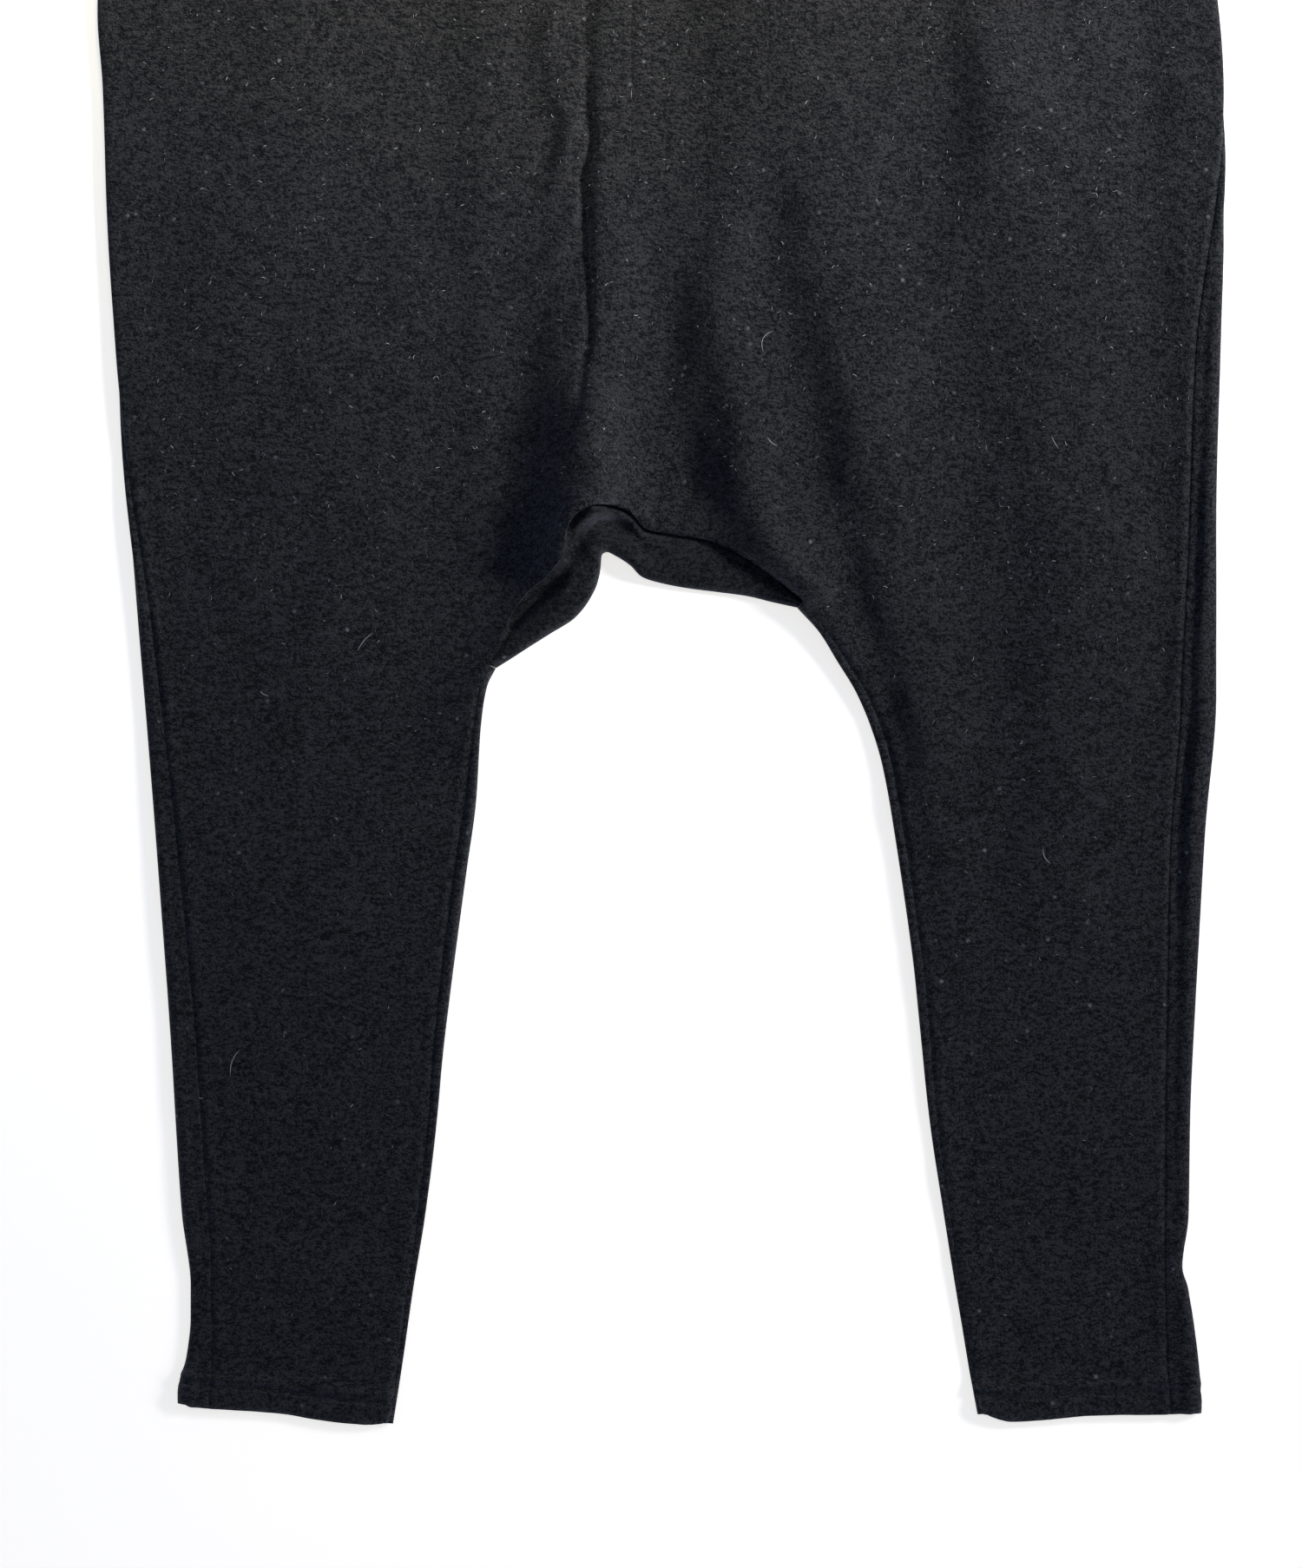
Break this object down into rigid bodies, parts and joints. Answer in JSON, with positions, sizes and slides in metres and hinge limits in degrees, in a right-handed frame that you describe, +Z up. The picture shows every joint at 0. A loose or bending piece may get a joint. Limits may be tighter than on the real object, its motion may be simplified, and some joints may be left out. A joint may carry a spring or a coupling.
{
  "type": "harem pants",
  "caption": "Long loose trousers with a low crotch, a gathered elastic waist and narrow ankles, laid out flat, front up.",
  "frame": {"origin": "on the surface the garment lies on, under the middle of its bounding box", "axes": "+X to the wearer's left, +Y towards the waist, +Z up off the surface, out of the garment's front"},
  "size_m": [0.5713, 0.9612, 0.0205],
  "materials": {
    "knit": "matt brushed knit"
  },
  "bodies": {
    "root": {"front_left": "knit", "front_right": "knit", "back_left": "knit", "back_right": "knit", "crotch_gusset": "knit", "waistband": "knit"}
  },
  "joints": []
}
